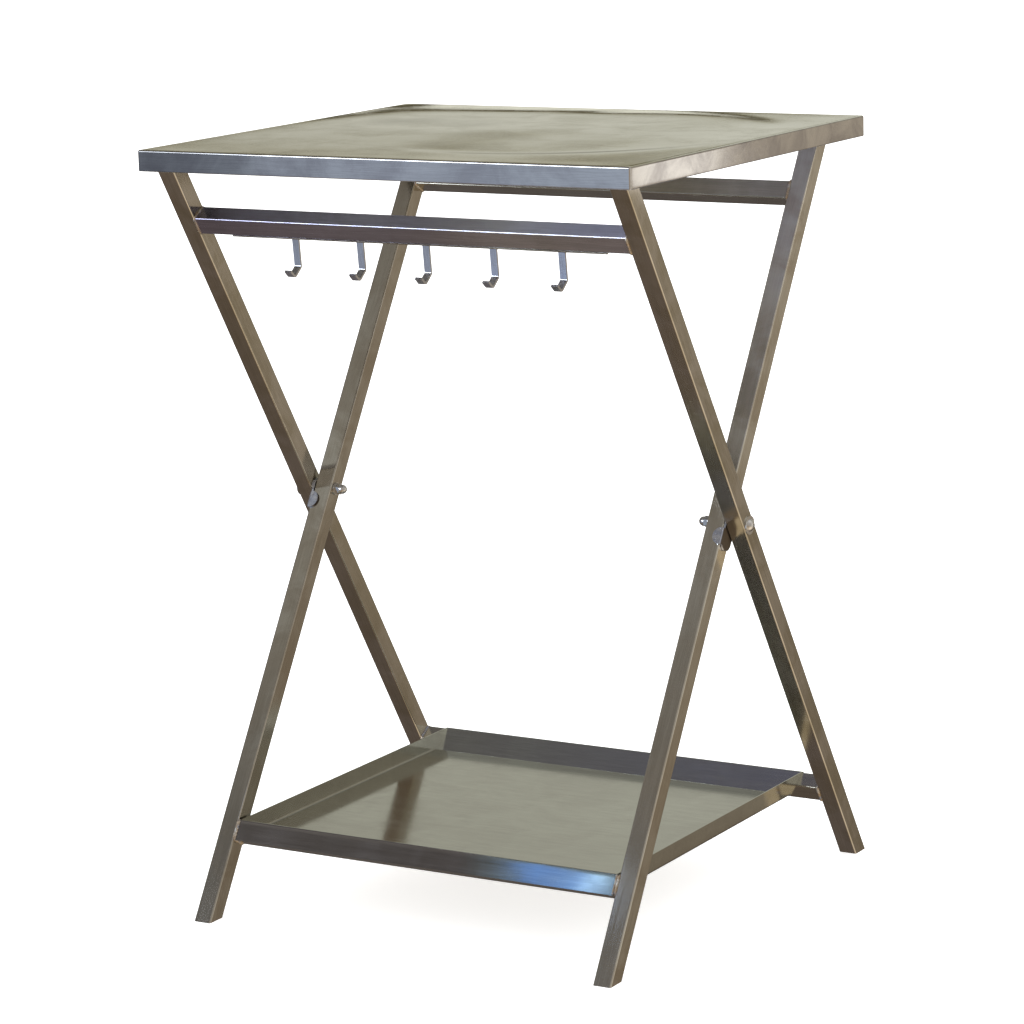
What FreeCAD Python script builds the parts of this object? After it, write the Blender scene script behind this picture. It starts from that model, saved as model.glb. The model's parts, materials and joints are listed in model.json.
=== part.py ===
"""Folding X-leg work stand in stainless steel: lift-off top, five tool hooks and a lift-off tray.

Units are millimetres. X runs along the front edge, Y towards the back and Z up. The origin is on
the floor under the centre of the stand. The outer frame has its feet at the back and its top at
the front. The inner frame stands between the outer legs and leans the other way.
"""
import FreeCAD, Part
import math
import os

V = FreeCAD.Vector

# Overall size
WIDTH = 700.0
DEPTH = 632.0
HEIGHT = 993.0
SHEET = 1.2  # thickness of the tabletop and of the tray

# Square tube of both frames
TUBE = 25.0
TUBE_WALL = 1.5
TUBE_CORNER = 2.0
CAP = 2.0  # plate that closes a leg's end

# The X
LEAN = 31.8  # degrees of each frame from upright
PIVOT_HEIGHT = 510.0
OUTER_LEG_X = 322.5
INNER_LEG_X = 294.5
TOP_RAIL_CENTRE = 456.0  # distance of both upper rails from the pivot, along the leg
CROSSBAR_CENTRE = 480.5  # distance of both lower crossbars from the pivot, along the leg

# Tabletop
RIM = 27.0
RIM_BEND = 2.5
HEM = 7.0  # height of the closed hem inside the foot of the rim

# Tray
TRAY_HALF_WIDTH = 279.0
TRAY_FLOOR = 97.0  # height of the floor's upper face
TRAY_BEND = 2.0
LIP_OVERLAP = 27.5  # how far a lip reaches down the outer face of its crossbar

# Pivot hardware, M8
BOLT_R = 4.0
BUSH_R = 6.0
BUSH_BORE_R = 4.05
HEAD_WASHER_R = 12.0
NUT_WASHER_R = 8.5
WASHER_BORE_R = 4.2
WASHER = 1.6
HEAD_R = 8.0
HEAD_HEIGHT = 5.5
SOCKET_FLATS = 5.0
SOCKET_DEPTH = 2.6
NUT_FLATS = 13.0
NUT_HEX = 6.5
NUT_HEIGHT = 15.0
NUT_DOME_R = 6.2
THREAD_END = 3.5  # steel between the bolt's end and the dome's tip
INNER_PLAY = 0.2  # gap between the inner leg and its washer

# Stop plate between the legs
STOP = 2.5
STOP_LENGTH = 24.0  # from the pivot to the centre of the rounded lower end
STOP_TAB_R = 11.5
STOP_TAB_DROP = 22.0
STOP_PLAY = 0.15
STOP_BEND = 2.0

# Hooks
STRIP_LENGTH = 538.0
STRIP = 2.0
STRIP_OFFSET = 8.0  # the strip is welded on a little to the right of the middle
HOOK_COUNT = 5
HOOK_SPACING = 96.0
HOOK_WIDTH = 9.5
HOOK_THICKNESS = 3.0
HOOK_BEND = 4.0
HOOK_TAB = 15.0
HOOK_SETBACK = 3.0  # from the strip's back edge to the middle of the strap
STRAP_DROP = 51.5
STRAP_RUN = 5.0  # how far the strap's foot lies behind its top
SEAT_RUN = 14.2
SEAT_FALL = 11.3
TIP_RUN = 9.6
TIP_RISE = 8.2

TOP_OF_LEGS = HEIGHT - SHEET
SIDES = (("left", -1), ("right", 1))


def box(x, y, z):
    """A box between pairs of limits along X, Y and Z."""
    return Part.makeBox(x[1] - x[0], y[1] - y[0], z[1] - z[0], V(x[0], y[0], z[0]))


def rod(radius, start, end, y=0.0, z=0.0):
    """A round bar along X, from start to end."""
    return Part.makeCylinder(radius, end - start, V(start, y, z), V(1, 0, 0))


def mirrored(shape, side):
    """The shape as made for the right side, or its mirror image for the left."""
    return shape if side > 0 else shape.mirror(V(0, 0, 0), V(1, 0, 0))


def placed(shape, frame_sign):
    """Leans a shape that was made upright about the pivot: +1 outer frame, -1 inner frame."""
    moved = shape.copy()
    moved.rotate(V(0, 0, 0), V(1, 0, 0), frame_sign * LEAN)
    moved.translate(V(0, 0, PIVOT_HEIGHT))
    return moved


def rounded_edges(shape, radius, wanted):
    """Fillets the straight edges for which wanted(middle, direction) is true."""
    edges = []
    for edge in shape.Edges:
        ends = [v.Point for v in edge.Vertexes]
        if len(ends) == 2 and wanted((ends[0] + ends[1]) * 0.5, (ends[1] - ends[0]).normalize()):
            edges.append(edge)
    return shape.makeFillet(radius, edges)


def square_bar(size, corner, length):
    """A solid square bar about Z, from z=0 to z=length, with rounded long edges."""
    half = size / 2
    bar = box((-half, half), (-half, half), (0, length))
    return rounded_edges(bar, corner, lambda middle, direction: abs(direction.z) > 0.9)


def tube_along_z(start, end):
    """A square tube about Z."""
    outer = square_bar(TUBE, TUBE_CORNER, end - start)
    inner = square_bar(TUBE - 2 * TUBE_WALL, TUBE_CORNER - TUBE_WALL, end - start)
    tube = outer.cut(inner)
    tube.translate(V(0, 0, start))
    return tube


def tube_along_x(half_length, centre_z):
    """A square tube along X between -half_length and half_length, in a frame's own axes."""
    tube = tube_along_z(-half_length, half_length)
    tube.rotate(V(0, 0, 0), V(0, 1, 0), 90)
    tube.translate(V(0, 0, centre_z))
    return tube


def level_slice(shape, low, high):
    """The stretch of a leaning shape between two heights."""
    return shape.common(box((-WIDTH, WIDTH), (-WIDTH, WIDTH), (low, high)))


def leg(side, x, frame_sign):
    """A leg tube, cut level at both ends and bored for the pivot bush."""
    reach = HEIGHT
    tube = tube_along_z(-reach, reach)
    tube.translate(V(side * x, 0, 0))
    tube = tube.cut(rod(BUSH_R, side * x - TUBE, side * x + TUBE))
    return level_slice(placed(tube, frame_sign), CAP, TOP_OF_LEGS - CAP)


def leg_cap(side, x, frame_sign, low):
    """A plate that closes a leg's end, level and as large as the slanted tube's outline."""
    bar = square_bar(TUBE, TUBE_CORNER, 2 * HEIGHT)
    bar.translate(V(side * x, 0, -HEIGHT))
    return level_slice(placed(bar, frame_sign), low, low + CAP)


def pivot_bush(side, x):
    """A plain bush across a leg, flush with the leg's side faces."""
    start, end = side * x - TUBE / 2, side * x + TUBE / 2
    bush = rod(BUSH_R, start, end).cut(rod(BUSH_BORE_R, start, end))
    bush.translate(V(0, 0, PIVOT_HEIGHT))
    return bush


def washer(side, radius, inner_face, outer_face):
    """A flat washer between two X positions of the right side."""
    ring = rod(radius, inner_face, outer_face).cut(rod(WASHER_BORE_R, inner_face, outer_face))
    ring.translate(V(0, 0, PIVOT_HEIGHT))
    return mirrored(ring, side)


def hexagon_prism(flats, start, end):
    """A hexagonal bar along X with two corners up and down."""
    radius = flats / math.sqrt(3)
    corners = [
        V(start, radius * math.sin(math.radians(60 * i)), radius * math.cos(math.radians(60 * i)))
        for i in range(7)
    ]
    return Part.Face(Part.makePolygon(corners)).extrude(V(end - start, 0, 0))


def dome(radius, height, base_x, direction):
    """A spherical cap whose flat side lies at base_x."""
    ball_r = (radius * radius + height * height) / (2 * height)
    centre = base_x + direction * (height - ball_r)
    ball = Part.makeSphere(ball_r, V(centre, 0, 0))
    limits = sorted((base_x, base_x + direction * height * 1.5))
    return ball.common(box(limits, (-2 * radius, 2 * radius), (-2 * radius, 2 * radius)))


def pivot_positions():
    """X of the faces that the pivot hardware bears on, for the right side."""
    return {
        "outside": OUTER_LEG_X + TUBE / 2,
        "inside": INNER_LEG_X - TUBE / 2 - INNER_PLAY,
    }


def pivot_bolt(side):
    """Button-head bolt: the head outside the outer leg, the end inside the dome nut."""
    at = pivot_positions()
    head_base = at["outside"] + WASHER
    nut_tip = at["inside"] - WASHER - NUT_HEIGHT
    shank = rod(BOLT_R, nut_tip + THREAD_END, head_base + HEAD_HEIGHT / 2)
    head = dome(HEAD_R, HEAD_HEIGHT, head_base, 1)
    head_end = head_base + HEAD_HEIGHT
    socket = hexagon_prism(SOCKET_FLATS, head_end - SOCKET_DEPTH, head_end + 1)
    bolt = shank.fuse(head).removeSplitter().cut(socket)
    bolt.translate(V(0, 0, PIVOT_HEIGHT))
    return mirrored(bolt, side)


def dome_nut(side):
    """Hexagonal nut with a closed dome, on the inner end of the bolt."""
    base = pivot_positions()["inside"] - WASHER
    hexagon = hexagon_prism(NUT_FLATS, base - NUT_HEX, base)
    chamfer = dome(NUT_FLATS * 0.62, NUT_HEX * 1.6, base, -1)
    neck_end = base - NUT_HEIGHT + NUT_DOME_R * 0.9
    neck = rod(NUT_DOME_R, neck_end, base)
    cap = dome(NUT_DOME_R, NUT_DOME_R * 0.9, neck_end, -1)
    nut = hexagon.common(chamfer).fuse(neck).fuse(cap).removeSplitter()
    nut = nut.cut(rod(BOLT_R, base - NUT_HEIGHT + THREAD_END, base + 1))
    nut.translate(V(0, 0, PIVOT_HEIGHT))
    return mirrored(nut, side)


def stop_plate(side):
    """Plate welded to the outer leg round the bolt. Its rounded tab folds over the front of the
    inner leg and stops the stand from opening further."""
    outer_face = OUTER_LEG_X - TUBE / 2
    near, far = outer_face - STOP, outer_face
    half = TUBE / 2
    tab_front = -half - STOP_PLAY - STOP
    web = box((near, far), (-half, half), (-STOP_LENGTH, 0))
    web = web.fuse([rod(half, near, far), rod(half, near, far, z=-STOP_LENGTH)])
    neck_half = STOP_TAB_R * 0.93
    neck_height = (-STOP_TAB_DROP - neck_half, -STOP_TAB_DROP + neck_half)
    neck = box((near, far), (tab_front, 0), neck_height)
    neck = rounded_edges(
        neck, STOP_BEND, lambda m, d: abs(d.z) > 0.9 and m.y < tab_front + 0.1 and m.x > far - 0.1
    )
    tab = Part.makeCylinder(STOP_TAB_R, STOP, V(near, tab_front, -STOP_TAB_DROP), V(0, 1, 0))
    tab = tab.common(box((0, near), (-TUBE, 0), (-TUBE * 2, TUBE)))
    plate = web.fuse([neck, tab]).removeSplitter().cut(rod(WASHER_BORE_R, near - 1, far + 1))
    return placed(mirrored(plate, side), -1)


def bent_profile(points, thickness, bend_radius):
    """The face of a bent sheet in the YZ plane. points is its middle line; every corner between
    the ends gets a bend with that radius at the middle line."""
    line = [V(0, y, z) for y, z in points]
    sides = {1: [], -1: []}
    starts = {}
    for side in sides:
        direction = (line[1] - line[0]).normalize()
        starts[side] = line[0] + V(0, -direction.z, direction.y) * (side * thickness / 2)
    last = dict(starts)
    for before, corner, after in zip(line, line[1:], line[2:]):
        arriving = (corner - before).normalize()
        leaving = (after - corner).normalize()
        turn = arriving.getAngle(leaving)
        left = 1 if arriving.cross(leaving).x > 0 else -1
        cut = bend_radius * math.tan(turn / 2)
        inward = V(0, -arriving.z, arriving.y) * left
        centre = corner - arriving * cut + inward * bend_radius
        to_corner = (corner - centre).normalize()
        for side in sides:
            radius = bend_radius - left * side * thickness / 2
            begin = centre - inward * radius
            end = centre + V(0, leaving.z, -leaving.y) * (left * radius)
            sides[side].append(Part.makeLine(last[side], begin))
            sides[side].append(Part.Arc(begin, centre + to_corner * radius, end).toShape())
            last[side] = end
    direction = (line[-1] - line[-2]).normalize()
    ends = {}
    for side in sides:
        ends[side] = line[-1] + V(0, -direction.z, direction.y) * (side * thickness / 2)
        sides[side].append(Part.makeLine(last[side], ends[side]))
    caps = [Part.makeLine(starts[1], starts[-1]), Part.makeLine(ends[1], ends[-1])]
    return Part.Face(Part.Wire(Part.__sortEdges__(sides[1] + sides[-1] + caps)))


def world_point(y, z, frame_sign):
    """Y and Z in the stand's axes of a point given in a frame's own axes."""
    angle = math.radians(frame_sign * LEAN)
    world_y = y * math.cos(angle) - z * math.sin(angle)
    world_z = y * math.sin(angle) + z * math.cos(angle)
    return world_y, world_z + PIVOT_HEIGHT


def hook_strip():
    """Flat bar under the hook rail that carries the hooks."""
    top = TOP_RAIL_CENTRE - TUBE / 2
    half = STRIP_LENGTH / 2
    reach = TUBE / 2
    bar = box((STRIP_OFFSET - half, STRIP_OFFSET + half), (-reach, reach), (top - STRIP, top))
    bar = rounded_edges(bar, STRIP * 0.45, lambda m, d: abs(d.x) > 0.9 and m.z < top - STRIP / 2)
    return placed(bar, 1)


def hook(index):
    """A hook bent from flat bar: a tab under the strip, a strap that hangs nearly upright, and a
    V-shaped seat that opens to the front."""
    level = TOP_RAIL_CENTRE - TUBE / 2 - STRIP - HOOK_THICKNESS / 2
    back = TUBE / 2 + HOOK_SETBACK
    tab_end = world_point(back - HOOK_TAB, level, 1)
    strap_top = world_point(back, level, 1)
    strap_foot = (strap_top[0] + STRAP_RUN, strap_top[1] - STRAP_DROP)
    seat = (strap_foot[0] - SEAT_RUN, strap_foot[1] - SEAT_FALL)
    tip = (seat[0] - TIP_RUN, seat[1] + TIP_RISE)
    face = bent_profile([tab_end, strap_top, strap_foot, seat, tip], HOOK_THICKNESS, HOOK_BEND)
    blank = face.extrude(V(HOOK_WIDTH, 0, 0))
    centre_x = STRIP_OFFSET + (index - (HOOK_COUNT - 1) / 2) * HOOK_SPACING
    blank.translate(V(centre_x - HOOK_WIDTH / 2, 0, 0))
    return blank


def tabletop():
    """One folded sheet: a flat top, a rim turned down all round and a closed hem at its foot."""
    x, y = WIDTH / 2, DEPTH / 2
    corner = RIM_BEND

    def block(inset, low, high, radius):
        shape = box((inset - x, x - inset), (inset - y, y - inset), (low, high))
        return rounded_edges(shape, radius, lambda m, d: abs(d.z) > 0.9 or m.z > high - 0.1)

    outer = block(0, HEIGHT - RIM, HEIGHT, corner)
    inner = block(SHEET, HEIGHT - RIM - 1, HEIGHT - SHEET, corner - SHEET)
    hem = box((-x + SHEET, x - SHEET), (-y + SHEET, y - SHEET), (HEIGHT - RIM, HEIGHT - RIM + HEM))
    hem = hem.common(outer)
    room = 2 * SHEET
    hem = hem.cut(box((room - x, x - room), (room - y, y - room), (0, HEIGHT)))
    return outer.cut(inner).fuse(hem).removeSplitter()


def tray():
    """One folded sheet: a flat floor, upright sides, and sloping ends that lie on the crossbars
    and hook over their outer faces."""
    middle = SHEET / 2
    bar_top = -CROSSBAR_CENTRE + TUBE / 2 + middle
    outside = TUBE / 2 + middle
    lip_foot = bar_top - LIP_OVERLAP
    front_lip = world_point(-outside, lip_foot, -1)
    front_top = world_point(-outside, bar_top, -1)
    floor = TRAY_FLOOR - middle
    slope = math.tan(math.radians(LEAN))
    floor_end = -front_top[0] - (front_top[1] - floor) / slope
    points = [front_lip, front_top, (-floor_end, floor)]
    points += [(-y, z) for y, z in reversed(points)]
    half = TRAY_HALF_WIDTH
    body = bent_profile(points, SHEET, TRAY_BEND).extrude(V(2 * half, 0, 0))
    body.translate(V(-half, 0, 0))
    top_y, top_z = front_top
    outline = [(top_y, top_z), (-floor_end, floor), (floor_end, floor), (-top_y, top_z)]
    corners = [V(0, y, z) for y, z in outline + outline[:1]]
    wall = Part.Face(Part.makePolygon(corners)).extrude(V(SHEET, 0, 0))
    walls = []
    for start in (-half, half - SHEET):
        side_wall = wall.copy()
        side_wall.translate(V(start, 0, 0))
        walls.append(side_wall)
    return body.fuse(walls).removeSplitter()


def outer_frame():
    nodes = {
        "hook_rail": placed(tube_along_x(OUTER_LEG_X - TUBE / 2, TOP_RAIL_CENTRE), 1),
        "rear_crossbar": placed(tube_along_x(OUTER_LEG_X - TUBE / 2, -CROSSBAR_CENTRE), 1),
        "hook_strip": hook_strip(),
    }
    for index in range(HOOK_COUNT):
        nodes["hook_%d" % (index + 1)] = hook(index)
    at = pivot_positions()
    for name, side in SIDES:
        nodes["outer_leg_" + name] = leg(side, OUTER_LEG_X, 1)
        nodes["outer_bush_" + name] = pivot_bush(side, OUTER_LEG_X)
        nodes["outer_foot_cap_" + name] = leg_cap(side, OUTER_LEG_X, 1, 0)
        nodes["outer_top_cap_" + name] = leg_cap(side, OUTER_LEG_X, 1, TOP_OF_LEGS - CAP)
        nodes["stop_plate_" + name] = stop_plate(side)
        nodes["pivot_bolt_" + name] = pivot_bolt(side)
        nodes["head_washer_" + name] = washer(
            side, HEAD_WASHER_R, at["outside"], at["outside"] + WASHER
        )
        nodes["nut_washer_" + name] = washer(
            side, NUT_WASHER_R, at["inside"] - WASHER, at["inside"]
        )
        nodes["dome_nut_" + name] = dome_nut(side)
    return nodes


def inner_frame():
    nodes = {
        "back_top_rail": placed(tube_along_x(INNER_LEG_X - TUBE / 2, TOP_RAIL_CENTRE), -1),
        "front_crossbar": placed(tube_along_x(INNER_LEG_X - TUBE / 2, -CROSSBAR_CENTRE), -1),
    }
    for name, side in SIDES:
        nodes["inner_leg_" + name] = leg(side, INNER_LEG_X, -1)
        nodes["inner_bush_" + name] = pivot_bush(side, INNER_LEG_X)
        nodes["inner_foot_cap_" + name] = leg_cap(side, INNER_LEG_X, -1, 0)
        nodes["inner_top_cap_" + name] = leg_cap(side, INNER_LEG_X, -1, TOP_OF_LEGS - CAP)
    return nodes


def build():
    nodes = {"tabletop": tabletop(), "tray": tray()}
    nodes.update(outer_frame())
    nodes.update(inner_frame())
    return nodes


if __name__ == "__main__":
    os.makedirs("parts", exist_ok=True)
    for node, shape in build().items():
        shape.exportStep("parts/%s.step" % node)
        print(node, len(shape.Solids), shape.isValid(), round(shape.Volume, 1))
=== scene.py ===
"""Looks of a folding stainless stand: crossed square-tube legs, a sheet tabletop and tray, a rail
with hooks. Everything is in metres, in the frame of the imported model."""

import json
import math
import random

import bmesh
import bpy
from mathutils import Matrix, Vector, noise

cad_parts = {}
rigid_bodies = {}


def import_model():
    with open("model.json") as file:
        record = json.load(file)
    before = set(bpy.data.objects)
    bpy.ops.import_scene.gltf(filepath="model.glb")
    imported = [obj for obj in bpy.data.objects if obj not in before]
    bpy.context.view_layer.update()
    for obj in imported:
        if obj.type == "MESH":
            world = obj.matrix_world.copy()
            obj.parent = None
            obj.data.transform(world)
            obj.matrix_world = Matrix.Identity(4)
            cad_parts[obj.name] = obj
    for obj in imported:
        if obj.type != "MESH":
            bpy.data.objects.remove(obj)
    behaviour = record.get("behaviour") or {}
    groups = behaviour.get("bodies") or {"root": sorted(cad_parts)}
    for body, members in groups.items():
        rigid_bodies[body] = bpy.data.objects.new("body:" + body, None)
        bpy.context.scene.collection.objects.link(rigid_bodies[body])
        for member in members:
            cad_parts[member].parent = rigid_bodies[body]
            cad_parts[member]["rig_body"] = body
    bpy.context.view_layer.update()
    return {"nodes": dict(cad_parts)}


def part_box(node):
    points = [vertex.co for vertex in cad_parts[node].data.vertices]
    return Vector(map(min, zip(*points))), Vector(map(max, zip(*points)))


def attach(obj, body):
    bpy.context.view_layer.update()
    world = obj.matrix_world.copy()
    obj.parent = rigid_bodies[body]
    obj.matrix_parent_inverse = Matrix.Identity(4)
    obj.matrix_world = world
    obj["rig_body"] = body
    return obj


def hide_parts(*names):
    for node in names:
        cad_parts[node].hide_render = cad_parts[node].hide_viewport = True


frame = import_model()

MM = 0.001

# Places of the frame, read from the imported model
PIVOT = sum(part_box("outer_bush_left"), Vector()) / 2
RAIL = sum(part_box("hook_rail"), Vector()) / 2
CROSSBAR = sum(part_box("rear_crossbar"), Vector()) / 2
LEAN = math.atan2(PIVOT.y - RAIL.y, RAIL.z - PIVOT.z)
RAIL_ALONG = math.hypot(RAIL.y - PIVOT.y, RAIL.z - PIVOT.z)
CROSSBAR_ALONG = -math.hypot(CROSSBAR.y - PIVOT.y, CROSSBAR.z - PIVOT.z)
TUBE = 25 * MM
SHEET = 1.2 * MM
FRAMES = {"outer_frame": 1, "inner_frame": -1}
SIDES = {"left": -1, "right": 1}


# ---------------------------------------------------------------- mesh helpers


def add_object(name, vertices, faces, material, body, sharp=40):
    """A piece from points and faces, with welded points, outward faces and smooth bends."""
    mesh = bpy.data.meshes.new(name)
    mesh.from_pydata(vertices, [], faces)
    shape = bmesh.new()
    shape.from_mesh(mesh)
    bmesh.ops.remove_doubles(shape, verts=shape.verts, dist=1e-6)
    bmesh.ops.recalc_face_normals(shape, faces=shape.faces)
    shape.to_mesh(mesh)
    shape.free()
    mesh.shade_smooth()
    mesh.set_sharp_from_angle(angle=math.radians(sharp))
    mesh.materials.append(material)
    piece = bpy.data.objects.new(name, mesh)
    bpy.context.scene.collection.objects.link(piece)
    weighted = piece.modifiers.new("even_shading", "WEIGHTED_NORMAL")
    weighted.keep_sharp = True
    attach(piece, body)
    return piece


def skin(rows, closed, vertices, faces):
    """Faces between rows of points that all have the same number of points."""
    start = len(vertices)
    count = len(rows[0])
    for row in rows:
        vertices.extend(row)
    for r in range(len(rows) - 1):
        for i in range(count if closed else count - 1):
            j = (i + 1) % count
            low = start + r * count
            faces.append((low + i, low + j, low + count + j, low + count + i))


def rounded_line(corners, radius, step, segments=5):
    """Points and unit normals along a line in a plane, with a bend at every inner corner."""
    line = []
    start = corners[0]

    def straight(begin, end):
        along = (end - begin).normalized()
        side = Vector((-along.y, along.x))
        count = max(1, round((end - begin).length / step))
        line.extend((begin.lerp(end, i / count), side) for i in range(count + 1))

    for before, corner, after in zip(corners, corners[1:], corners[2:]):
        arriving = (corner - before).normalized()
        leaving = (after - corner).normalized()
        turn = arriving.angle(leaving)
        left = 1 if arriving.x * leaving.y > arriving.y * leaving.x else -1
        cut = radius * math.tan(turn / 2)
        begin = corner - arriving * cut
        inward = Vector((-arriving.y, arriving.x)) * left
        centre = begin + inward * radius
        straight(start, begin)
        for k in range(1, segments):
            swing = Matrix.Rotation(left * turn * k / segments, 2)
            line.append((centre - swing @ inward * radius, swing @ inward * left))
        start = corner + leaving * cut
    straight(start, corners[-1])
    return line


def thick_sweep(line, thickness, stations, place, vertices, faces):
    """A bent sheet: the line, thickened, and carried through the stations by place(point, t)."""
    half = thickness / 2
    upper = [[place(p + n * half, t) for p, n in line] for t in stations]
    lower = [[place(p - n * half, t) for p, n in line] for t in stations]
    skin(upper, False, vertices, faces)
    skin(lower, False, vertices, faces)
    for end in (0, -1):
        skin([[row[end] for row in upper], [row[end] for row in lower]], False, vertices, faces)
        skin([upper[end], lower[end]], False, vertices, faces)


def tube_sweep(path, radii, closed, vertices, faces, sides=8):
    """A round bead along a path, with its radius at each point."""
    rows = []
    count = len(path)
    for i, point in enumerate(path):
        after = path[(i + 1) % count] if closed or i < count - 1 else point
        before = path[i - 1] if closed or i else point
        along = (after - before).normalized()
        across = along.orthogonal() if abs(along.x) > 0.9 else along.cross(Vector((1, 0, 0)))
        across.normalize()
        up = along.cross(across)
        ring = []
        for k in range(sides):
            angle = 2 * math.pi * k / sides
            ring.append(point + (across * math.cos(angle) + up * math.sin(angle)) * radii[i])
        rows.append(ring)
    if closed:
        rows.append(rows[0])
        skin(rows, True, vertices, faces)
        return
    skin(rows, True, vertices, faces)
    base = len(vertices) - len(rows) * sides
    faces.append(tuple(base + k for k in range(sides)))
    faces.append(tuple(len(vertices) - sides + k for k in range(sides)))


def in_frame(x, y, along, body):
    """The place of a point given in a leg frame's own axes, from its pivot."""
    angle = FRAMES[body] * LEAN
    world_y = y * math.cos(angle) - along * math.sin(angle)
    world_z = y * math.sin(angle) + along * math.cos(angle)
    return Vector((x, world_y + PIVOT.y, world_z + PIVOT.z))


# ---------------------------------------------------------------- material helpers


class Shader:
    """The node tree of a material or a world, filled step by step."""

    def __init__(self, owner):
        owner.use_nodes = True
        self.owner = owner
        self.tree = owner.node_tree
        self.tree.nodes.clear()

    def add(self, kind, inputs=None, **settings):
        made = self.tree.nodes.new(kind)
        for key, value in settings.items():
            setattr(made, key, value)
        for key, value in (inputs or {}).items():
            socket = made.inputs[key]
            if isinstance(value, bpy.types.NodeSocket):
                self.tree.links.new(value, socket)
            else:
                socket.default_value = value
        return made

    def coordinates(self, turn=(0, 0, 0)):
        place = self.add("ShaderNodeTexCoord").outputs["Object"]
        return self.add("ShaderNodeMapping", {"Vector": place, "Rotation": turn}).outputs[0]

    def noise(self, place, scale, detail=3.0, rough=0.55, stretch=(1, 1, 1), distortion=0.0):
        scaled = self.add("ShaderNodeMapping", {"Vector": place, "Scale": stretch}).outputs[0]
        values = {"Vector": scaled, "Scale": scale, "Detail": detail, "Roughness": rough}
        values["Distortion"] = distortion
        return self.add("ShaderNodeTexNoise", values).outputs["Fac"]

    def spread(self, value, low, high, new_low=0.0, new_high=1.0):
        inputs = {"Value": value, "From Min": low, "From Max": high}
        inputs.update({"To Min": new_low, "To Max": new_high})
        return self.add("ShaderNodeMapRange", inputs, interpolation_type="SMOOTHSTEP").outputs[0]

    def ramp(self, value, stops):
        """An eased ramp through (position, grey level or colour) pairs."""
        made = self.add("ShaderNodeValToRGB", {"Fac": value})
        ramp = made.color_ramp
        ramp.interpolation = "EASE"
        while len(ramp.elements) < len(stops):
            ramp.elements.new(0.5)
        for element, (position, tone) in zip(ramp.elements, stops):
            element.position = position
            element.color = (*tone, 1.0) if isinstance(tone, tuple) else (tone, tone, tone, 1.0)
        return made.outputs[0]

    def math(self, operation, first, second=0.0):
        return self.add("ShaderNodeMath", {0: first, 1: second}, operation=operation).outputs[0]

    def mix(self, factor, first, second, blend="MIX"):
        inputs = {"Factor": factor}
        made = self.add("ShaderNodeMix", inputs, data_type="RGBA", blend_type=blend)
        for socket, value in ((made.inputs[6], first), (made.inputs[7], second)):
            if isinstance(value, bpy.types.NodeSocket):
                self.tree.links.new(value, socket)
            else:
                socket.default_value = (*value, 1.0)
        return made.outputs[2]

    def bump(self, height, distance, strength=1.0, normal=None):
        inputs = {"Height": height, "Distance": distance, "Strength": strength}
        if normal is not None:
            inputs["Normal"] = normal
        return self.add("ShaderNodeBump", inputs).outputs[0]

    def finish(self, colour, rough, normal, metallic=1.0):
        inputs = {"Base Color": colour, "Roughness": rough, "Normal": normal}
        inputs["Metallic"] = metallic
        surface = self.add("ShaderNodeBsdfPrincipled", inputs).outputs[0]
        self.add("ShaderNodeOutputMaterial", {"Surface": surface})
        return self.owner


def new_shader(name):
    return Shader(bpy.data.materials.new(name))


# ---------------------------------------------------------------- materials

TONE_SPAN = 0.7  # the width over which a piece's painted light runs from 0 to 1


def brushed(name, tint, warm, rough, turn=(0, 0, 0), along="z", grain=1.0, waves=1.0, **more):
    """Brushed stainless: fine grain along one axis, longer smears, cloudy patches, scratches.
    more may hold the painted light, stops of colour across the piece along tone_axis that stand in
    for its shade and reflections, blurred by wobble; streak, the smears' strength; and metallic."""
    s = new_shader(name)
    place = s.coordinates(turn)
    streak = more.get("streak", 1.0)

    def stretched(thin, long):
        return tuple(long if axis == along else thin for axis in "xyz")

    fine = s.noise(place, 1.0, 4.0, 0.6, stretched(900, 26))
    smear = s.noise(place, 1.0, 3.0, 0.55, stretched(170, 9))
    cloud = s.noise(place, 15.0, 5.0, 0.6, distortion=0.6)
    patch = s.noise(place, 4.5, 2.0, 0.5)
    scratch = s.spread(s.noise(place, 1.0, 2.0, 0.4, stretched(420, 7)), 0.66, 0.72)
    colour = s.mix(s.spread(cloud, 0.35, 0.68), tint, warm)
    colour = s.mix(s.spread(patch, 0.38, 0.66, 0.0, 0.5), colour, warm)
    grain_shade = s.spread(fine, 0.3, 0.7, 0.88, 1.0)
    smear_shade = s.spread(smear, 0.3, 0.7, -0.05 * streak, 0.05 * streak)
    shade = s.math("ADD", grain_shade, smear_shade)
    grey = s.add("ShaderNodeCombineColor", {0: shade, 1: shade, 2: shade}).outputs[0]
    colour = s.mix(1.0, colour, grey, "MULTIPLY")
    # painted light: the stops darken or brighten the steel across the piece as shade and reflection
    # would
    if "tones" in more:
        across = s.add("ShaderNodeSeparateXYZ", {"Vector": place}).outputs[more.get("tone_axis", 0)]
        wobble = s.math("MULTIPLY", s.math("SUBTRACT", patch, 0.5), more.get("wobble", 0.25))
        share = s.math("MULTIPLY", across, 1 / TONE_SPAN)
        across = s.math("ADD", share, s.math("ADD", wobble, 0.5))
        colour = s.mix(1.0, colour, s.ramp(across, more["tones"]), "MULTIPLY")
    worn = s.spread(smear, 0.25, 0.75, -0.02 * streak, 0.03 * streak)
    wear = s.math("ADD", worn, s.spread(cloud, 0.3, 0.7, -0.02, 0.03))
    wear = s.math("ADD", wear, s.math("MULTIPLY", scratch, -0.04))
    roughness = s.math("ADD", wear, rough)
    normal = s.bump(patch, 0.9 * MM * waves, 0.5)
    normal = s.bump(fine, 0.02 * MM * grain, 0.5, normal)
    return s.finish(colour, roughness, normal, more.get("metallic", 1.0))


def sheet_steel(name, tint, warm, rough, waves, **more):
    return brushed(name, tint, warm, rough, along="x", grain=0.6, waves=waves, **more)


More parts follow.
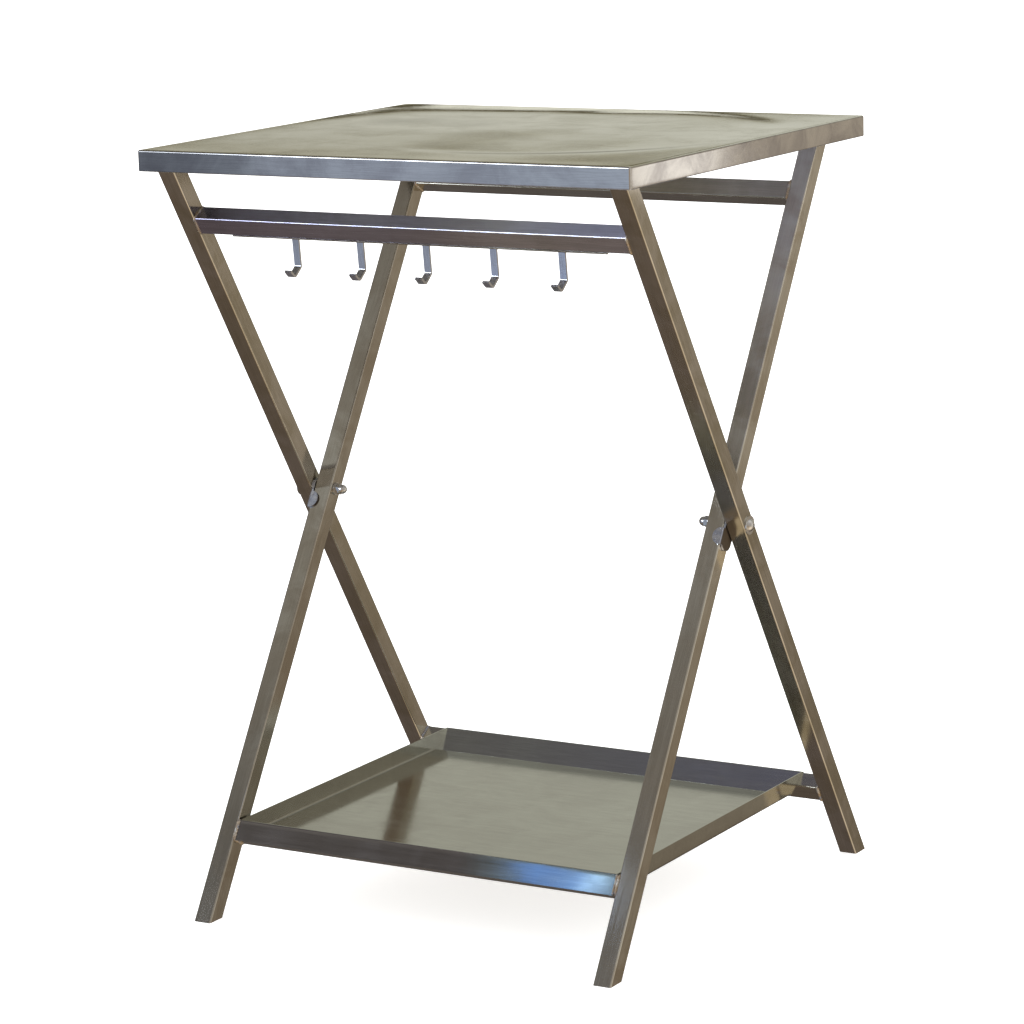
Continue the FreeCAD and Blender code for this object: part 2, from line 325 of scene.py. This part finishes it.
def stop_steel(name):
    """The folded stop plates: hammered tabs tinted blue as painted reflection, and webs in the gap
    between the legs painted dark as shade.
    """
    s = new_shader(name)
    place = s.coordinates()
    facing = s.add("ShaderNodeTexCoord").outputs["Normal"]
    across = s.add("ShaderNodeSeparateXYZ", {"Vector": facing})
    # painted shade: the faces turned along X, the webs between the legs, are painted dark
    shaded_web = s.spread(s.math("ABSOLUTE", across.outputs[0]), 0.5, 0.8)
    dents = s.noise(place, 120.0, 2.0, 0.5)
    # painted reflection: the hammered tabs tinted blue
    tab_painted_blue = s.mix(s.spread(dents, 0.35, 0.65), (0.62, 0.68, 0.86), (0.80, 0.84, 0.96))
    colour = s.mix(shaded_web, tab_painted_blue, (0.16, 0.14, 0.13))
    roughness = s.math("ADD", s.math("MULTIPLY", shaded_web, 0.25), 0.16)
    return s.finish(colour, roughness, s.bump(dents, 0.6 * MM, 0.7))


def polished(name, tint, rough):
    """Bright machined steel with faint turning marks and a few dull spots."""
    s = new_shader(name)
    place = s.coordinates()
    spots = s.noise(place, 240.0, 4.0, 0.6)
    haze = s.noise(place, 60.0, 3.0, 0.5)
    colour = s.mix(s.spread(haze, 0.35, 0.7), tint, tuple(v * 0.8 for v in tint))
    roughness = s.math("ADD", s.spread(spots, 0.4, 0.75, 0.0, 0.12), rough)
    return s.finish(colour, roughness, s.bump(spots, 0.03 * MM, 0.4))


def weld_metal(name):
    """Weld beads: rippled bright metal with straw, brown and blue heat tint."""
    s = new_shader(name)
    place = s.coordinates()
    tint = s.noise(place, 70.0, 2.0, 0.5)
    grit = s.noise(place, 900.0, 3.0, 0.6)
    colour = s.mix(s.spread(tint, 0.35, 0.5), (0.82, 0.81, 0.79), (0.60, 0.50, 0.39))
    colour = s.mix(s.spread(tint, 0.52, 0.66), colour, (0.44, 0.47, 0.58))
    roughness = s.spread(grit, 0.3, 0.7, 0.22, 0.42)
    return s.finish(colour, roughness, s.bump(grit, 0.08 * MM, 0.6))


# Painted light: colour stops across a piece, along X or, for the deck, from the front edge to the
# back, standing in for its shade and reflections
# painted shade: the inner legs darker towards -X
LEG_PAINTED_SHADE = [(0.2, (0.76, 0.745, 0.735)), (0.8, 1.0)]
# painted reflection: the hook rail dim and purplish at -X, bright blue-white towards +X
RAIL_PAINTED_REFLECTION = [
    (0.0, (0.50, 0.50, 0.64)),
    (0.45, (0.66, 0.69, 0.82)),
    (0.75, (0.92, 0.97, 1.0)),
    (1.0, (0.80, 0.82, 0.90)),
]
# painted reflection: the rim darker towards its left end
RIM_PAINTED_REFLECTION = [(0.0, 0.42), (0.12, 0.50), (0.3, 0.88), (0.5, 1.0), (0.9, 0.94), (1.0, 1.0)]
# painted reflection: an olive band along the deck's front edge, fading to plain steel towards the
# middle
DECK_PAINTED_REFLECTION = [
    (0.0, (0.64, 0.60, 0.46)),
    (0.08, (0.68, 0.64, 0.51)),
    (0.24, (0.90, 0.89, 0.85)),
    (0.5, 1.0),
]
# painted reflection: the underside dull and warm at -X, bluish towards +X
UNDERSIDE_PAINTED_REFLECTION = [
    (0.0, (0.55, 0.53, 0.45)),
    (0.55, (0.72, 0.70, 0.62)),
    (0.8, (0.86, 0.88, 1.0)),
    (1.0, (0.88, 0.9, 1.0)),
]
# painted reflection: the tray lips dark and warm at -X, their full blue towards +X
LIP_PAINTED_REFLECTION = [(0.0, (0.68, 0.495, 0.45)), (0.58, (0.70, 0.51, 0.47)), (0.72, 1.0)]
MATERIALS = {
    # the outer and inner legs are one steel; the inner copy is tinted lighter: painted light on the
    # inner legs
    "outer_tube": brushed(
        "outer_tube", (0.64, 0.61, 0.56), (0.50, 0.46, 0.37), 0.15, (-LEAN, 0, 0), streak=0.5
    ),
    "inner_tube": brushed(
        "inner_tube", (0.81, 0.80, 0.745), (0.62, 0.575, 0.495), 0.12, (LEAN, 0, 0),
        streak=0.5, tones=LEG_PAINTED_SHADE
    ),
    # the hook rail's steel: a bright bluish copy of the rail steel, with painted reflection across
    # it
    "hook_rail": brushed(
        "hook_rail_painted_reflection", (0.95, 0.93, 1.0), (0.83, 0.80, 0.84), 0.15, along="x", tones=RAIL_PAINTED_REFLECTION
    ),
    "rail_tube": brushed(
        "rail_tube", (0.62, 0.60, 0.52), (0.52, 0.49, 0.42), 0.16, along="x", streak=0.6
    ),
    "tabletop": sheet_steel(
        "tabletop_steel", (0.96, 0.96, 0.92), (0.92, 0.91, 0.85), 0.04, 0.1,
        streak=0.5, tones=DECK_PAINTED_REFLECTION, tone_axis=1, wobble=0.3
    ),
    "rim": sheet_steel(
        "rim_steel", (0.88, 0.88, 0.88), (0.60, 0.59, 0.61), 0.14, 1.0, tones=RIM_PAINTED_REFLECTION, streak=0.3
    ),
    "underside": sheet_steel(
        "underside_steel", (0.64, 0.65, 0.68), (0.54, 0.54, 0.58), 0.35, 1.0,
        metallic=0.72, tones=UNDERSIDE_PAINTED_REFLECTION
    ),
    "tray": sheet_steel(
        "tray_steel", (0.61, 0.62, 0.575), (0.54, 0.54, 0.50), 0.12, 0.3, streak=0.45
    ),
    # the lips' steel: a blue copy of the tray steel, a painted reflection of blue light
    "tray_lip": sheet_steel(
        "tray_lip_painted_blue", (0.55, 0.71, 0.77), (0.50, 0.64, 0.70), 0.12, 0.3,
        streak=0.45, tones=LIP_PAINTED_REFLECTION, wobble=0.1
    ),
    "stop": stop_steel("stop_steel"),
    "hooks": brushed("hook_satin", (0.80, 0.83, 0.90), (0.66, 0.67, 0.72), 0.2, grain=0.5),
    "polished": polished("polished_hardware", (0.78, 0.78, 0.79), 0.1),
    "bush": polished("turned_bush", (0.6, 0.59, 0.57), 0.25),
    "weld": weld_metal("weld_bead"),
}


def material_of(node):
    if node.startswith(("outer_leg", "outer_foot", "outer_top")):
        return "outer_tube"
    if node.startswith(("inner_leg", "inner_foot", "inner_top")):
        return "inner_tube"
    if node.startswith("hook_") and node[5:].isdigit():
        return "hooks"
    if "bush" in node:
        return "bush"
    if node.startswith("stop_plate"):
        return "stop"
    if node.startswith(("pivot_bolt", "head_washer", "nut_washer", "dome_nut")):
        return "polished"
    if node == "hook_rail":
        return "hook_rail"
    return "rail_tube"


for name, cad_object in frame["nodes"].items():
    for material_slot in cad_object.material_slots:
        material_slot.material = MATERIALS[material_of(name)]


# ---------------------------------------------------------------- tabletop

BEND = 2.5 * MM
HEM = 7 * MM
TOP_LOW, TOP_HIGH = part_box("tabletop")


# The dents of the thin top, in millimetres
BUCKLE_MIDDLE = (75, 32)
BUCKLE_RADIUS = 261
BUCKLE_EDGE = 13
CREASE_LEFT = 236
CREASE_SLANT = 0.16
CREASE_SOFT = 15


def sheet_height(x, y, reach_x, reach_y):
    """How far the thin top lies below its edges: slack, a round buckle, a crease along the back."""
    u, v = x / reach_x, y / reach_y
    hold = (1 - u**8) * (1 - v**8)

    def ramp(distance):
        return CREASE_SOFT * math.log1p(math.exp(distance / CREASE_SOFT))

    beside = math.hypot(x / MM - BUCKLE_MIDDLE[0], y / MM - BUCKLE_MIDDLE[1]) - BUCKLE_RADIUS
    buckle = -(0.2 + 0.16 * max(0.0, v)) * (1 - math.tanh(beside / BUCKLE_EDGE))
    buckle *= 0.5 + 0.5 * math.tanh((x / MM + 10) / 55)
    crease = CREASE_LEFT + CREASE_SLANT * (x - TOP_LOW.x) / MM
    fold = 0.026 * (ramp(y / MM - crease) - ramp(reach_y / MM - crease)) * (1 - u**6)
    fold *= 0.5 + 0.5 * math.tanh((v - 0.3) / 0.28)
    slack = -0.35 * (1 - u * u) * (1 - v * v)
    slack += (noise.noise(Vector((x * 4.6, y * 3.4, 3.7))) * 0.30 - 0.15) * hold
    slack += noise.noise(Vector((x * 9.0, y * 6.0, 9.1))) * 0.08 * (1.5 - v) * hold
    return min(0.0, slack + buckle * hold + fold) * MM


def rim_inset(s, t, down):
    """How far a rim face lies inside its straight line, t along it and down from the top."""
    hold = math.sin(math.pi * t) ** 0.5 if 0 < t < 1 else 0.0
    wave = noise.noise(Vector((t * 5.0, s * 7.3, down * 40))) + 0.6
    return max(0.0, wave) * 0.22 * MM * hold * min(1.0, down / (8 * MM))


def build_tabletop():
    reach_x, reach_y = TOP_HIGH.x - BEND, TOP_HIGH.y - BEND
    centres = [(-reach_x, -reach_y), (reach_x, -reach_y), (reach_x, reach_y), (-reach_x, reach_y)]
    normals = [(0, -1), (1, 0), (0, 1), (-1, 0)]
    counts = [120, 108, 120, 108]
    corner_steps = 5
    top, foot = TOP_HIGH.z, TOP_LOW.z
    vertices, faces = [], []

    def ring(inset, z):
        points = []
        radius = BEND - inset
        for s in range(4):
            begin, end = Vector(centres[s]), Vector(centres[(s + 1) % 4])
            out, turned = Vector(normals[s]), Vector(normals[(s + 1) % 4])
            for i in range(counts[s] + 1):
                t = i / counts[s]
                dent = rim_inset(s, t, top - z) if inset < BEND - 1e-6 else 0.0
                flat = begin.lerp(end, t) + out * (radius - dent)
                points.append(Vector((flat.x, flat.y, z)))
            for k in range(1, corner_steps):
                angle = math.pi / 2 * k / corner_steps
                flat = end + (out * math.cos(angle) + turned * math.sin(angle)) * radius
                points.append(Vector((flat.x, flat.y, z)))
        return points

    def deck(z):
        rows = []
        for j in range(counts[1] + 1):
            y = reach_y * (2 * j / counts[1] - 1)
            row = []
            for i in range(counts[0] + 1):
                x = reach_x * (2 * i / counts[0] - 1)
                row.append(Vector((x, y, z + sheet_height(x, y, reach_x, reach_y))))
            rows.append(row)
        skin(rows, False, vertices, faces)

    profile = [(SHEET, foot + HEM), (2 * SHEET, foot + HEM - 0.2 * MM), (2 * SHEET, foot + SHEET)]
    for k in range(1, 8):
        angle = math.pi * k / 8
        profile.append((SHEET + SHEET * math.cos(angle), foot + SHEET - SHEET * math.sin(angle)))
    profile.append((0, foot + SHEET))
    rim_steps = 8
    for k in range(1, rim_steps + 1):
        profile.append((0, foot + SHEET + (top - BEND - foot - SHEET) * k / rim_steps))
    for k in range(1, 7):
        angle = math.pi / 2 * k / 6
        profile.append((BEND - BEND * math.cos(angle), top - BEND + BEND * math.sin(angle)))
    skin([ring(*step) for step in profile], True, vertices, faces)
    deck(top)

    inside = BEND - SHEET
    under = [(BEND, top - SHEET)]
    for k in range(1, 7):
        angle = math.pi / 2 * k / 6
        under.append((BEND - inside * math.sin(angle), top - BEND + inside * math.cos(angle)))
    for k in range(1, rim_steps + 1):
        under.append((SHEET, top - BEND - (top - BEND - foot - HEM) * k / rim_steps))
    skin([ring(*step) for step in under], True, vertices, faces)
    deck(top - SHEET)

    piece = add_object(
        "tabletop_sheet", vertices, faces, MATERIALS["tabletop"], "top_panel"
    )
    piece.data.materials.append(MATERIALS["rim"])
    piece.data.materials.append(MATERIALS["underside"])
    # the sides take the rim steel and the downward faces the underside steel, each with painted
    # reflection across it
    for face in piece.data.polygons:
        if abs(face.normal.z) < 0.7:
            face.material_index = 1
        elif face.normal.z < 0:
            face.material_index = 2
    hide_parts("tabletop")
    return piece


# ---------------------------------------------------------------- tray

TRAY_LOW, TRAY_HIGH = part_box("tray")
TRAY_FLOOR = 97 * MM
TRAY_BEND = 2 * MM
TRAY_CORNER = 3 * MM
LIP_DEPTH = 27.5 * MM
FLOOR_OVERLAP = 12 * MM


def tray_wave(x, y):
    """Slack in the tray floor."""
    hold = max(0.0, 1 - (x / TRAY_HIGH.x) ** 4) * max(0.0, 1 - (y / 0.222) ** 4)
    slack = noise.noise(Vector((x * 5.0, y * 4.0, 21.3))) * 0.5
    slack += noise.noise(Vector((x * 13.0, y * 10.0, 5.5))) * 0.14
    return (slack - 0.2) * hold * MM


def build_tray():
    vertices, faces = [], []
    middle = SHEET / 2
    bar_top = CROSSBAR_ALONG + TUBE / 2 + middle
    outside = TUBE / 2 + middle
    lip = in_frame(0, -outside, bar_top - LIP_DEPTH, "inner_frame")
    fold = in_frame(0, -outside, bar_top, "inner_frame")
    floor = TRAY_FLOOR - middle
    floor_end = -fold.y - (fold.z - floor) / math.tan(LEAN)
    half = TRAY_HIGH.x

    # the floor with both upright sides
    wall = half - middle
    section = [(-wall, fold.z), (-wall, floor), (wall, floor), (wall, fold.z)]
    line = rounded_line([Vector(p) for p in section], TRAY_CORNER, 8 * MM)
    inner_end = floor_end - TRAY_BEND * math.tan(LEAN / 2)
    stations = [inner_end * (2 * i / 70 - 1) for i in range(71)]

    def channel(point, y):
        sag = tray_wave(point.x, y) if abs(point.y - floor) < 2 * MM else 0.0
        return Vector((point.x, y, point.y + sag))

    thick_sweep(line, SHEET, stations, channel, vertices, faces)

    # the sloping ends with their lips, and the side plates that close the corners
    for end in (-1, 1):
        section = [(lip.y, lip.z), (fold.y, fold.z), (-floor_end, floor)]
        section.append((FLOOR_OVERLAP - inner_end, floor))
        line = rounded_line([Vector(p) for p in section], TRAY_BEND, 4 * MM)
        cut = [(p, n) for p, n in line if p.x < -inner_end + 0.1 * MM]
        stations = [half * (2 * i / 80 - 1) for i in range(81)]

        def slope(point, x, end=end):
            return Vector((x, -end * point.x, point.y))

        thick_sweep(cut, SHEET, stations, slope, vertices, faces)
        for side in (-1, 1):
            outline = [(inner_end, floor), (floor_end, floor)]
            outline += [(-fold.y - SHEET, fold.z), (inner_end, fold.z)]
            rows = [
                [Vector((side * x, end * y, z)) for y, z in outline] for x in (half - SHEET, half)
            ]
            skin(rows, True, vertices, faces)
            base = len(vertices) - 8
            faces.append((base, base + 1, base + 2, base + 3))
            faces.append((base + 4, base + 5, base + 6, base + 7))

    piece = add_object("tray_sheet", vertices, faces, MATERIALS["tray"], "tray_panel")
    # the lips take the blue lip steel: painted reflection
    piece.data.materials.append(MATERIALS["tray_lip"])
    for face in piece.data.polygons:
        if abs(face.center.y) > abs(fold.y) + 0.3 * MM:
            face.material_index = 1
    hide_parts("tray")
    return piece


# ---------------------------------------------------------------- welds


WELD_PROUD = 1.03  # the bead's path over the tube's outline
LIP_END = 279.2  # the lip's end, in mm from the middle
LIP_BEAD = 25.5  # the length of its bead, in mm


def weld_ring(name, x, along, body, seed):
    """The fillet weld round a square tube's end where it meets a leg."""
    shaky = random.Random(seed)
    half = TUBE / 2
    radius = 2 * MM
    path = []
    steps = 26
    for quarter in range(4):
        turn = Matrix.Rotation(math.pi / 2 * quarter, 2)
        for i in range(steps):
            t = i / steps
            flat = turn @ Vector((half, (half - radius) * (2 * t - 1)))
            path.append(in_frame(x, flat.x * WELD_PROUD, along + flat.y * WELD_PROUD, body))
    ripples = [1.6 + 0.35 * math.sin(i * 1.9) for i in range(len(path))]
    radii = [MM * (ripple + shaky.uniform(-0.25, 0.25)) for ripple in ripples]
    vertices, faces = [], []
    tube_sweep(path, radii, True, vertices, faces)
    return add_object(
        name, vertices, faces, MATERIALS["weld"], body, sharp=180
    )


def lip_weld(name, side):
    """The dressed bead down the end of the tray's front lip, beside a leg."""
    shaky = random.Random(name)
    top = CROSSBAR_ALONG + TUBE / 2 + SHEET / 2
    path = []
    steps = 21
    for i in range(steps + 1):
        x = side * (LIP_END + shaky.uniform(-0.15, 0.15)) * MM
        down = (1 + LIP_BEAD * i / steps) * MM
        path.append(in_frame(x, -TUBE / 2 - SHEET, top - down, "inner_frame"))
    ripples = [1.2 + 0.2 * math.sin(i * 1.7) for i in range(len(path))]
    radii = [MM * (ripple + shaky.uniform(-0.15, 0.15)) for ripple in ripples]
    vertices, faces = [], []
    tube_sweep(path, radii, False, vertices, faces)
    return add_object(
        name, vertices, faces, MATERIALS["weld"], "tray_panel", sharp=180
    )


def build_welds():
    for name, side in SIDES.items():
        lip_weld("weld_lip_%s" % name, side)
    joints = [("hook_rail", RAIL_ALONG), ("rear_crossbar", CROSSBAR_ALONG)]
    joints += [("back_top_rail", RAIL_ALONG), ("front_crossbar", CROSSBAR_ALONG)]
    for number, (node, along) in enumerate(joints):
        low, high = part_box(node)
        body = frame["nodes"][node]["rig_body"]
        for name, side in SIDES.items():
            x = side * (high.x - 0.2 * MM)
            weld_ring("weld_%s_%s" % (node, name), x, along, body, number * 2 + side)


# ---------------------------------------------------------------- studio


# What the steel reflects: a direction, how narrow the patch is there, and its colour
SURROUNDINGS = [
    ((-0.53, -0.28, -0.80), 20, (0.19, 0.148, 0.113)),
    ((-0.45, -0.10, -0.88), 70, (0.055, 0.045, 0.043)),
    ((0.62, -0.20, -0.757), 14, (1.5, 1.3, 1.0)),
    ((0.40, -0.45, -0.80), 5, (0.32, 0.23, 0.14)),
    ((-0.45, 0.30, -0.80), 8, (0.17, 0.155, 0.16)),
    ((-0.30, 0.75, -0.60), 8, (0.08, 0.065, 0.05)),
    ((-0.42, -0.53, 0.735), 45, (0.37, 0.34, 0.30)),
    ((-0.57, -0.46, 0.68), 80, (0.17, 0.155, 0.13)),
    ((-0.57, -0.525, 0.635), 600, (1.15, 1.15, 1.05)),
    ((-0.52, -0.62, 0.57), 60, (0.015, 0.012, 0.017)),
    ((-0.30, 0.25, 0.92), 8, (0.165, 0.16, 0.18)),
    ((-0.40, 0.12, 0.90), 300, (0.15, 0.16, 0.31)),
    ((-0.53, 0.13, 0.84), 200, (0.15, 0.138, 0.085)),
    ((0.50, 0.15, 0.85), 12, (0.80, 0.78, 0.72)),
    ((0.85, -0.30, 0.45), 6, (0.40, 0.37, 0.33)),
    ((0.50, 0.86, -0.28), 20, (0.185, 0.143, 0.10)),
    ((0.50, 0.86, -0.06), 60, (0.63, 0.545, 0.43)),
    ((0.50, 0.82, 0.30), 12, (0.24, 0.21, 0.16)),
    ((0.90, 0.40, 0.05), 14, (0.80, 0.74, 0.64)),
    ((-0.64, -0.76, -0.10), 30, (0.17, 0.16, 0.20)),
    ((-0.50, -0.86, -0.06), 30, (0.47, 0.56, 0.67)),
    ((-0.42, 0.90, 0.12), 16, (0.76, 0.75, 0.66)),
    ((-0.68, 0.72, 0.13), 22, (0.30, 0.27, 0.20)),
    ((-0.40, 0.87, 0.28), 14, (0.52, 0.54, 0.46)),
    ((-0.64, 0.70, 0.30), 22, (0.24, 0.22, 0.17)),
]
# The level band behind the stand, darkest at the edge that the tabletop's buckle reflects:
# brightness or colour by height, from the horizon to BAND_TOP (the sine of its elevation)
BAND_TOP = 0.3
BAND_TONES = [
    (0.0, 1.0),
    (0.1, 1.0),
    (0.24, 0.62),
    (0.29, 1.12),
    (0.325, 1.0),
    (0.345, (0.80, 0.78, 0.70)),
    (0.354, (0.50, 0.46, 0.35)),
    (0.366, (0.17, 0.15, 0.10)),
    (0.408, (0.17, 0.15, 0.10)),
    (0.43, 1.5),
    (0.6, 1.4),
    (0.8, 1.0),
]
STUDIO_WHITE = (1.25, 1.25, 1.25)


def build_world():
    """Soft studio surroundings, seen by the steel as broad patches of light and colour, and
    plain white by everything else."""
    world = bpy.data.worlds.new("studio")
    bpy.context.scene.world = world
    s = Shader(world)
    ray = s.add("ShaderNodeTexCoord").outputs["Generated"]
    total = weight_sum = None
    for direction, tightness, colour in SURROUNDINGS:
        towards = {0: ray, 1: Vector(direction).normalized()}
        dot = s.add("ShaderNodeVectorMath", towards, operation="DOT_PRODUCT").outputs["Value"]
        weight = s.math("EXPONENT", s.math("MULTIPLY", s.math("SUBTRACT", dot, 1.0), tightness))
        amount = {0: colour, "Scale": weight}
        part = s.add("ShaderNodeVectorMath", amount, operation="SCALE").outputs[0]
        if total is None:
            total, weight_sum = part, weight
        else:
            total = s.add("ShaderNodeVectorMath", {0: total, 1: part}, operation="ADD").outputs[0]
            weight_sum = s.math("ADD", weight_sum, weight)
    scale = s.math("DIVIDE", 1.0, weight_sum)
    seen = s.add("ShaderNodeVectorMath", {0: total, "Scale": scale}, operation="SCALE").outputs[0]
    glossy = s.add("ShaderNodeLightPath").outputs["Is Glossy Ray"]
    _, deep, level = s.add("ShaderNodeSeparateXYZ", {"Vector": ray}).outputs
    behind = s.spread(deep, 0.3, 0.6)
    band = s.ramp(s.math("MULTIPLY", level, 1 / BAND_TOP), BAND_TONES)
    banded = s.mix(1.0, seen, band, "MULTIPLY")
    seen = s.mix(behind, seen, banded)
    colour = s.mix(glossy, STUDIO_WHITE, seen)
    background = s.add("ShaderNodeBackground", {"Color": colour, "Strength": 1.0}).outputs[0]
    s.add("ShaderNodeOutputWorld", {"Surface": background})


# Name, place, target, size, strength and colour
LIGHTS = [
    ("window", (-4.55, -7.05, 3.2), (0, -0.3, 0.9), (2.7, 2.6), 7.0, (0.86, 0.92, 1.0)),
    ("warm_card", (0.82, 0.66, 0.90), (0.35, -0.24, 0.98), (0.14, 0.12), 0.75, (1.0, 0.97, 0.92)),
    (
        "cool_card", (-0.194, -0.781, 0.607), (0.2, -0.265, 0.108),
        (0.13, 0.07), 0.65, (0.15, 0.38, 1.0),
    ),
    (
        "pale_card", (-0.138, -0.79, 0.612), (0.26, -0.265, 0.108),
        (0.02, 0.07), 2.0, (0.72, 0.86, 1.0),
    ),
]


def soft_light(name, place, target, size, strength, colour):
    """A rectangular light that only shows in reflections."""
    light = bpy.data.lights.new(name, "AREA")
    light.shape = "RECTANGLE"
    light.size, light.size_y = size
    light.color = colour
    light.energy = strength * size[0] * size[1] * math.pi
    lamp = bpy.data.objects.new(name, light)
    bpy.context.scene.collection.objects.link(lamp)
    lamp.location = place
    lamp.rotation_euler = (Vector(target) - Vector(place)).to_track_quat("-Z", "Y").to_euler()
    lamp.visible_camera = False
    lamp.visible_diffuse = False


def build_floor():
    mesh = bpy.data.meshes.new("studio_floor")
    reach = 40.0
    corners = [(-reach, -reach, 0), (reach, -reach, 0), (reach, reach, 0), (-reach, reach, 0)]
    mesh.from_pydata(corners, [], [(0, 1, 2, 3)])
    s = new_shader("pale_floor")
    tone = s.noise(s.coordinates(), 2.0, 2.0)
    colour = s.mix(tone, (0.93, 0.93, 0.93), (0.95, 0.95, 0.95))
    s.finish(colour, 0.9, s.bump(tone, 0.1 * MM), metallic=0.0)
    glow = s.tree.nodes["Principled BSDF"].inputs
    glow["Emission Color"].default_value = (1, 1, 1, 1)
    glow["Emission Strength"].default_value = 0.67
    mesh.materials.append(s.owner)
    floor = bpy.data.objects.new("studio_floor", mesh)
    bpy.context.scene.collection.objects.link(floor)
    floor.visible_glossy = False


# The photograph's viewpoint: place, then turns about the axes, the second a tilt, the third a roll
CAMERA_LENS = 130.504
CAMERA_PLACE = (2.4068, -4.0583, 1.4541)
CAMERA_TURNS = [(0.53702, "Z"), (-0.19939, "X"), (0.02825, "Y"), (math.pi / 2, "X")]


def build_camera():
    camera = bpy.data.cameras.new("camera")
    camera.lens = CAMERA_LENS
    camera.sensor_width = 36.0
    camera.clip_end = 200
    eye = bpy.data.objects.new("camera", camera)
    bpy.context.scene.collection.objects.link(eye)
    pose = Matrix.Translation(CAMERA_PLACE)
    for angle, axis in CAMERA_TURNS:
        pose = pose @ Matrix.Rotation(angle, 4, axis)
    eye.matrix_world = pose
    bpy.context.scene.camera = eye


build_tabletop()
build_tray()
build_welds()
build_world()
build_floor()
build_camera()
for light in LIGHTS:
    soft_light(*light)
bpy.context.scene.view_settings.view_transform = "Standard"
